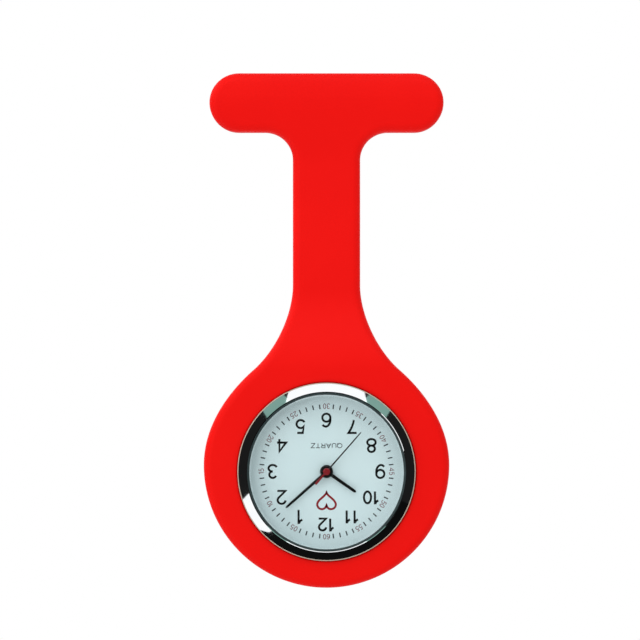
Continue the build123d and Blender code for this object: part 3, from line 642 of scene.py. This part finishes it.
# %% Word and heart
word = lettering("QUARTZ", 0.84, 0.15, 1.48)
make_piece("quartz_word", joined(on_dial(word, 0.12, 180, 4.35)), slate_ink, "cover")
t = np.linspace(0, 2 * np.pi, 61)
heart_x = 16 * np.sin(t) ** 3
heart_y = 13 * np.cos(t) - 5 * np.cos(2 * t) - 2 * np.cos(3 * t) - np.cos(4 * t) + 2.5
heart = np.stack([heart_x, heart_y], axis=-1)
make_piece("heart_mark", joined(on_dial([heart * 0.098], 0.36, 0, 4.95)), crimson_ink, "cover")

# %% [markdown]
# ## The hands
# The hands are stamped from thin brass strip and lacquered. A stamped baton has a flat back and two
# bevels that meet the flat top; its tip is rounded. In numbers it is a six-sided section carried along a
# line, and the section shrinks like the end of an ellipse at both ends, so the solid closes at one point.

# %% A bevelled baton
def baton(clock_angle, start, end, wide, narrow, back, front, steps=41):
    """Section times width and thickness at distances u that crowd near the ends; the ends shrink as the root
    of 1 minus u to the sixteenth power."""
    u = -np.cos(np.linspace(0, np.pi, steps))[:, None]
    shape = np.sqrt(np.clip(1 - u**16, 0, 1))
    along = (start + end) / 2 + (end - start) / 2 * u
    width = (wide + (narrow - wide) * (u + 1) / 2) * shape
    section = np.array([[-0.5, 0.5], [0.5, 0.5], [0.5, -0.05], [0.28, -0.5], [-0.28, -0.5], [-0.5, -0.05]])
    across = section[None, :, 0] * width
    depth = (back + front) / 2 + section[None, :, 1] * (back - front) * shape
    angle = math.radians(clock_angle)
    out, side = np.array([-math.sin(angle), -math.cos(angle)]), np.array([-math.cos(angle), math.sin(angle)])
    x, z = along * out[0] + across * side[0], hand_z + along * out[1] + across * side[1]
    return np.stack([x, depth, z], axis=-1).reshape(-1, 3), cells(steps, 6, False, True)


def lacquered(name, tone_a, tone_b, roughness):
    """Brushing lacquer over stamped brass: a glossy film over the faint unevenness of the strip."""
    coat, tree, output, here = new_material(name)
    lines = add(tree, "ShaderNodeTexNoise", {"Scale": 1 / (0.25 * MM), "Detail": 3.0}, Vector=here)
    tone = add(tree, "ShaderNodeMix", {"data_type": "RGBA", 6: linear(tone_a), 7: linear(tone_b)},
               Factor=lines.outputs["Fac"])
    ripple = add(tree, "ShaderNodeBump", {"Strength": 0.1, "Distance": 0.008 * MM},
                 Height=lines.outputs["Fac"])
    film = add(tree, "ShaderNodeBsdfPrincipled", {"Roughness": roughness, "IOR": 1.5, "Coat Weight": 0.3},
               Base_Color=tone.outputs[2], Normal=ripple.outputs["Normal"])
    tree.links.new(film.outputs[0], output.inputs[0])
    return coat


black_lacquer = lacquered("black_lacquered_brass", "#040405", "#08090a", 0.3)
dark_lacquer = lacquered("dark_red_black_lacquered_brass", "#1c1015", "#12090d", 0.35)
red_lacquer = lacquered("red_lacquered_brass", "#960c1a", "#800815", 0.32)

# %% Hour, minute and second hand
def hub(inner, outer, back, front, reach=0.06):
    """Pressed collar of a hand: a ring with softened edges."""
    return turned(softened([(inner, back), (outer, back), (outer, front), (inner, front)], reach), 96)


hour_parts = [baton(305.0, 0.85, 6.04, 0.58, 0.48, -9.1, -9.23), hub(0.75, 1.1, -8.95, -9.26)]
make_piece("hour_baton", joined(hour_parts), black_lacquer, "hours_body", ["hour_hand"])
minute_parts = [baton(48.4, 0.6, 9.2, 0.52, 0.42, -9.55, -9.68), hub(0.47, 0.95, -9.4, -9.73)]
make_piece("minute_baton", joined(minute_parts), black_lacquer, "minutes_body", ["minute_hand"])
needle = baton(221.2, 0.3, 8.9, 0.25, 0.2, -10.0, -10.1)
make_piece("second_needle", needle, dark_lacquer, "seconds_body", ["second_hand"])
cap = softened([(0, -9.86), (0.6, -9.86), (0.6, -10.24), (0.42, -10.31), (0, -10.32)], 0.08, closed=False)
tail_parts = [baton(41.2, 0.35, 2.85, 0.26, 0.4, -10.0, -10.1), turned(cap, 96, ring=False)]
make_piece("second_tail_and_cap", joined(tail_parts), red_lacquer, "seconds_body")

# %% [markdown]
# ## The back and the brooch fitting
# The snap-on case back is stainless steel, faced on a lathe: its fine rings spread a highlight into a
# bow-tie. The brooch parts are stamped or drawn steel with a barrel-plated nickel skin: bright, a little
# cloudy and warm.

# %% Turned stainless steel
turned_steel, tree, output, here = new_material("lathe_turned_stainless_steel")
split = add(tree, "ShaderNodeSeparateXYZ", Vector=here)
x, z = split.outputs["X"], split.outputs["Z"]
squared_x = add(tree, "ShaderNodeMath", {"operation": "MULTIPLY"}, _0=x, _1=x)
squared = add(tree, "ShaderNodeMath", {"operation": "MULTIPLY_ADD"}, _0=z, _1=z, _2=squared_x.outputs[0])
radius = add(tree, "ShaderNodeMath", {"operation": "SQRT"}, _0=squared.outputs[0])
lathe = add(tree, "ShaderNodeTexNoise", {"noise_dimensions": "1D", "Scale": 1 / (0.3 * MM), "Detail": 4.0},
            W=radius.outputs[0])
steel_tone = add(tree, "ShaderNodeMix", {"data_type": "RGBA", 6: linear("#a8abac"), 7: linear("#d4d6d6")},
                 Factor=lathe.outputs["Fac"])
groove = add(tree, "ShaderNodeBump", {"Strength": 0.6, "Distance": 0.04 * MM}, Height=lathe.outputs["Fac"])
bite = add(tree, "ShaderNodeMapRange", {"From Min": 0.3, "From Max": 0.7, "To Min": 0.14, "To Max": 0.36},
           Value=lathe.outputs["Fac"])
faced = add(tree, "ShaderNodeBsdfPrincipled", {"Metallic": 1.0}, Base_Color=steel_tone.outputs[2],
            Roughness=bite.outputs["Result"], Normal=groove.outputs["Normal"])
tree.links.new(faced.outputs[0], output.inputs[0])
paint("case_back", turned_steel)


# %% Metals that only differ in tone, gloss and grain
def metal(name, tone_a, tone_b, roughness, grain, depth=0.004, stretch=(1, 1, 1)):
    """Metal whose two tones and relief follow a noise of that grain in millimetres; stretch draws it out."""
    made, tree, output, here = new_material(name)
    drawn = add(tree, "ShaderNodeMapping", {"vector_type": "POINT", "Scale": stretch}, Vector=here)
    speck = add(tree, "ShaderNodeTexNoise", {"Scale": 1 / (grain * MM), "Detail": 3.0},
                Vector=drawn.outputs["Vector"])
    tone = add(tree, "ShaderNodeMix", {"data_type": "RGBA", 6: linear(tone_a), 7: linear(tone_b)},
               Factor=speck.outputs["Fac"])
    gloss = add(tree, "ShaderNodeMapRange", {"To Min": roughness * 0.8, "To Max": roughness * 1.25},
                Value=speck.outputs["Fac"])
    relief = add(tree, "ShaderNodeBump", {"Strength": 0.3, "Distance": depth * MM},
                 Height=speck.outputs["Fac"])
    shine = add(tree, "ShaderNodeBsdfPrincipled", {"Metallic": 1.0}, Base_Color=tone.outputs[2],
                Roughness=gloss.outputs["Result"], Normal=relief.outputs["Normal"])
    tree.links.new(shine.outputs[0], output.inputs[0])
    return made


nickel = metal("barrel_plated_nickel", "#cfc9bd", "#dcd7cc", 0.16, 0.6)
for part in ("brooch_bar", "brooch_pin", "hinge_rivet", "catch_sleeve"):
    paint(part, nickel)

# %% [markdown]
# ## Inside the case
# Nobody sees the movement unless the back comes off, yet each part keeps the finish it has on a real
# quartz movement: machined brass wheels, a nickelled steel stem and levers, soft iron for the motor,
# enamelled copper wire on the coil, a glass-epoxy board, and white acetal for the frame that spaces the
# movement in the case.

# %% Finishes of the movement
wheel_brass = metal("hobbed_wheel_brass", "#d2a64c", "#c0933c", 0.25, 0.3)
bridge_brass = metal("nickelled_bridge_brass", "#d8c48a", "#cbb67a", 0.3, 0.5, stretch=(0.15, 1, 1))
tempered = metal("tempered_lever_steel", "#9aa0a4", "#878d92", 0.3, 0.4, stretch=(0.2, 1, 1))
soft_iron = metal("annealed_soft_iron", "#8b8a88", "#77777a", 0.42, 0.35)
magnet = metal("sintered_magnet", "#4c4d50", "#3c3e42", 0.5, 0.2, depth=0.01)
winding = metal("enamelled_copper_wire", "#c5713a", "#a9582a", 0.3, 0.09, depth=0.03, stretch=(8, 1, 1))
can = metal("drawn_nickel_silver_can", "#c8c8c4", "#b6b7b5", 0.22, 0.4)
cell = metal("pressed_cell_steel", "#c4c6c6", "#b1b4b5", 0.2, 0.7)


def moulding(name, tone_a, tone_b, roughness, grain, depth=0.01):
    """Moulded or laminated plastic: two close tones and a fine relief from a noise of that grain."""
    made, tree, output, here = new_material(name)
    speck = add(tree, "ShaderNodeTexNoise", {"Scale": 1 / (grain * MM), "Detail": 3.0}, Vector=here)
    tone = add(tree, "ShaderNodeMix", {"data_type": "RGBA", 6: linear(tone_a), 7: linear(tone_b)},
               Factor=speck.outputs["Fac"])
    relief = add(tree, "ShaderNodeBump", {"Strength": 0.3, "Distance": depth * MM},
                 Height=speck.outputs["Fac"])
    body = add(tree, "ShaderNodeBsdfPrincipled", {"Roughness": roughness, "IOR": 1.5},
               Base_Color=tone.outputs[2], Normal=relief.outputs["Normal"])
    tree.links.new(body.outputs[0], output.inputs[0])
    return made


acetal = moulding("moulded_white_acetal", "#eceae2", "#e2dfd5", 0.45, 0.5)
plate_plastic = moulding("glass_filled_black_plastic", "#24272a", "#33373a", 0.5, 0.15, depth=0.02)
board = moulding("glass_epoxy_laminate", "#1d5a3a", "#2a6f4a", 0.4, 0.18, depth=0.01)
epoxy = moulding("moulded_epoxy_resin", "#141414", "#1f1f1f", 0.48, 0.12)

# %% Which part has which finish
FINISHES = {
    chrome: ("crown",),
    seal_rubber: ("back_gasket", "crown_gasket"),
    acetal: ("movement_ring",),
    plate_plastic: ("main_plate",),
    bridge_brass: ("train_bridge",),
    wheel_brass: ("fifth_wheel", "fourth_wheel", "third_wheel", "centre_wheel", "minute_wheel", "hour_wheel"),
    tempered: ("case_tube", "stem", "sliding_pinion", "setting_lever", "yoke", "movement_screws",
               "coil_screws", "battery_contact", "battery_clamp"),
    soft_iron: ("stator", "coil_core"),
    magnet: ("rotor",),
    winding: ("coil",),
    board: ("circuit_board",),
    epoxy: ("timing_chip",),
    can: ("quartz_crystal",),
    cell: ("battery",),
}
for finish, parts in FINISHES.items():
    for part in parts:
        paint(part, finish)
finished = sum(len(parts) for parts in FINISHES.values())
print("hidden parts finished:", finished)

# %% [markdown]
# ## The studio
# The watch is shot straight on, on white. Rubber wants broad soft light from high on the left. Chrome
# only looks like chrome when it has something to mirror: a wide softbox overhead with a dimmer greenish
# strip at each end, a small one low on the left, and darkness elsewhere. One more lamp grazes the rubber
# from the upper left and pales its edge there; two light the back. Each softbox is placed by two angles,
# clockwise from the top and away from the line of sight.

# %% Softboxes
head = np.array([0.0, -11.5, hand_z]) * MM


def softbox(name, clock, off_axis, width, height, brightness, colour="#ffffff", distance=0.6):
    """Rectangle of light aimed at the head: it stands cos(off) toward the viewer and sin(off) across."""
    clock, off_axis = math.radians(clock), math.radians(off_axis)
    across = np.array([math.sin(clock), 0.0, math.cos(clock)])
    direction = math.sin(off_axis) * across + math.cos(off_axis) * np.array([0.0, -1.0, 0.0])
    data = bpy.data.lights.new(name, "AREA")
    data.shape = "RECTANGLE"
    data.size, data.size_y = width, height
    data.energy = brightness * math.pi * width * height
    data.color = linear(colour)[:3]
    lamp = bpy.data.objects.new(name, data)
    tangent = np.cross(direction, across)
    tangent = tangent / np.linalg.norm(tangent)
    columns = [tangent, np.cross(direction, tangent), direction, head + direction * distance]
    lamp.matrix_world = Matrix(np.vstack([np.column_stack(columns), [0, 0, 0, 1]]).tolist())
    lamp.visible_camera = False
    bpy.context.scene.collection.objects.link(lamp)
    return lamp


softbox("overhead", 0, 57, 0.53, 0.30, 1.2)
softbox("overhead_left_edge", -39, 58, 0.17, 0.26, 0.40, "#c6ffee")
softbox("overhead_right_edge", 39, 58, 0.17, 0.26, 0.40, "#c6ffee")
softbox("low_left", -123.5, 57, 0.26, 0.30, 1.2)
softbox("key_upper_left", -55, 30, 0.28, 0.28, 1.5)
softbox("rim_upper_left", -48, 86, 0.30, 0.30, 2.6, "#ffe9e6")
softbox("back_left", -60, 140, 0.5, 0.4, 0.8)
softbox("back_right", 60, 150, 0.5, 0.4, 0.5)

# %% [markdown]
# The room itself: white where the camera looks, pale where matt surfaces gather light, and for mirrors
# dark in front of the watch and bright behind it. Light Path tells which kind of ray is asking, so one
# world serves all three. The floor does the same: it is white paper, but a mirror sees black cloth laid
# on its front half.

# %% Room and floor
world = bpy.data.worlds.new("studio_room")
bpy.context.scene.world = world
world.use_nodes = True
world.cycles.sampling_method = "NONE"
tree = world.node_tree
tree.nodes.clear()
out = add(tree, "ShaderNodeOutputWorld")
ray = add(tree, "ShaderNodeLightPath")
toward = add(tree, "ShaderNodeTexCoord")
bearing = add(tree, "ShaderNodeSeparateXYZ", Vector=toward.outputs["Generated"])
dusk = {"From Min": 0.55, "From Max": 0.75, "To Min": 0.012, "To Max": 0.85}
behind = add(tree, "ShaderNodeMapRange", dusk, Value=bearing.outputs["Y"])
ambient = add(tree, "ShaderNodeValue")
ambient.outputs[0].default_value = 0.78
mirrored = add(tree, "ShaderNodeMath", {"operation": "MULTIPLY"}, _0=ray.outputs["Is Glossy Ray"],
               _1=ray.outputs["Is Reflection Ray"])
gloss = add(tree, "ShaderNodeMath", {"operation": "MAXIMUM"}, _0=mirrored.outputs[0],
            _1=ray.outputs["Is Transmission Ray"])
not_camera = add(tree, "ShaderNodeMix", {"data_type": "FLOAT"}, Factor=gloss.outputs[0],
                 _2=ambient.outputs[0], _3=behind.outputs["Result"])
level = add(tree, "ShaderNodeMix", {"data_type": "FLOAT", 3: 1.0}, Factor=ray.outputs["Is Camera Ray"],
            _2=not_camera.outputs[0])
sky = add(tree, "ShaderNodeBackground", {"Color": (1, 1, 1, 1)}, Strength=level.outputs[0])
tree.links.new(sky.outputs[0], out.inputs[0])

paper = bpy.data.materials.new("matt_white_paper")
paper.use_nodes = True
tree = paper.node_tree
tree.nodes.clear()
out = add(tree, "ShaderNodeOutputMaterial")
seen = add(tree, "ShaderNodeLightPath")
place = add(tree, "ShaderNodeTexCoord")
across_floor = add(tree, "ShaderNodeSeparateXYZ", Vector=place.outputs["Object"])
in_front = add(tree, "ShaderNodeMapRange", {"From Min": 0.15, "From Max": -0.02},
               Value=across_floor.outputs["Y"])
black_cloth = add(tree, "ShaderNodeMath", {"operation": "MULTIPLY"}, _0=seen.outputs["Is Glossy Ray"],
                  _1=in_front.outputs["Result"])
sheet_tone = add(tree, "ShaderNodeMix", {"data_type": "RGBA", 6: linear("#f4f4f2"), 7: linear("#101010")},
                 Factor=black_cloth.outputs[0])
lit = add(tree, "ShaderNodeBsdfDiffuse", None, Color=sheet_tone.outputs[2])
glow = add(tree, "ShaderNodeEmission", {"Strength": 1.0})
sheet = add(tree, "ShaderNodeMixShader", None, Fac=seen.outputs["Is Camera Ray"], _1=lit.outputs[0],
            _2=glow.outputs[0])
tree.links.new(sheet.outputs[0], out.inputs[0])
half_side, floor_z = 900.0, -450.0
corners = np.array([[-1, -1, 0], [1, -1, 0], [1, 1, 0], [-1, 1, 0]]) * half_side + [0, 0, floor_z]
mesh = bpy.data.meshes.new("paper_floor")
mesh.from_pydata((corners * MM).tolist(), [], [[0, 1, 2, 3]])
mesh.materials.append(paper)
floor = bpy.data.objects.new("paper_floor", mesh)
bpy.context.scene.collection.objects.link(floor)
print("floor at z", floor_z, "mm, half a side", half_side, "mm")

# %% [markdown]
# ## The camera
# A long lens square on to the dial keeps the head and the bar to the same scale. It stands 0.7 m off, and
# its field is 108 mm wide at the face of the cover.

# %% Camera
camera_data = bpy.data.cameras.new("portrait_lens")
camera_data.sensor_width = 36.0
stand_off, field = 0.7, 0.10769
camera_data.lens = camera_data.sensor_width * stand_off / field
camera_data.clip_start, camera_data.clip_end = 0.01, 10.0
camera = bpy.data.objects.new("portrait_camera", camera_data)
camera.location = (-1.1 * MM, -0.7106, -36.76 * MM)
camera.rotation_euler = (math.radians(90), 0, 0)
bpy.context.scene.collection.objects.link(camera)
bpy.context.scene.camera = camera
bpy.context.scene.view_settings.view_transform = "Standard"
print("lens", round(camera_data.lens, 1), "mm, camera at", [round(value, 4) for value in camera.location])
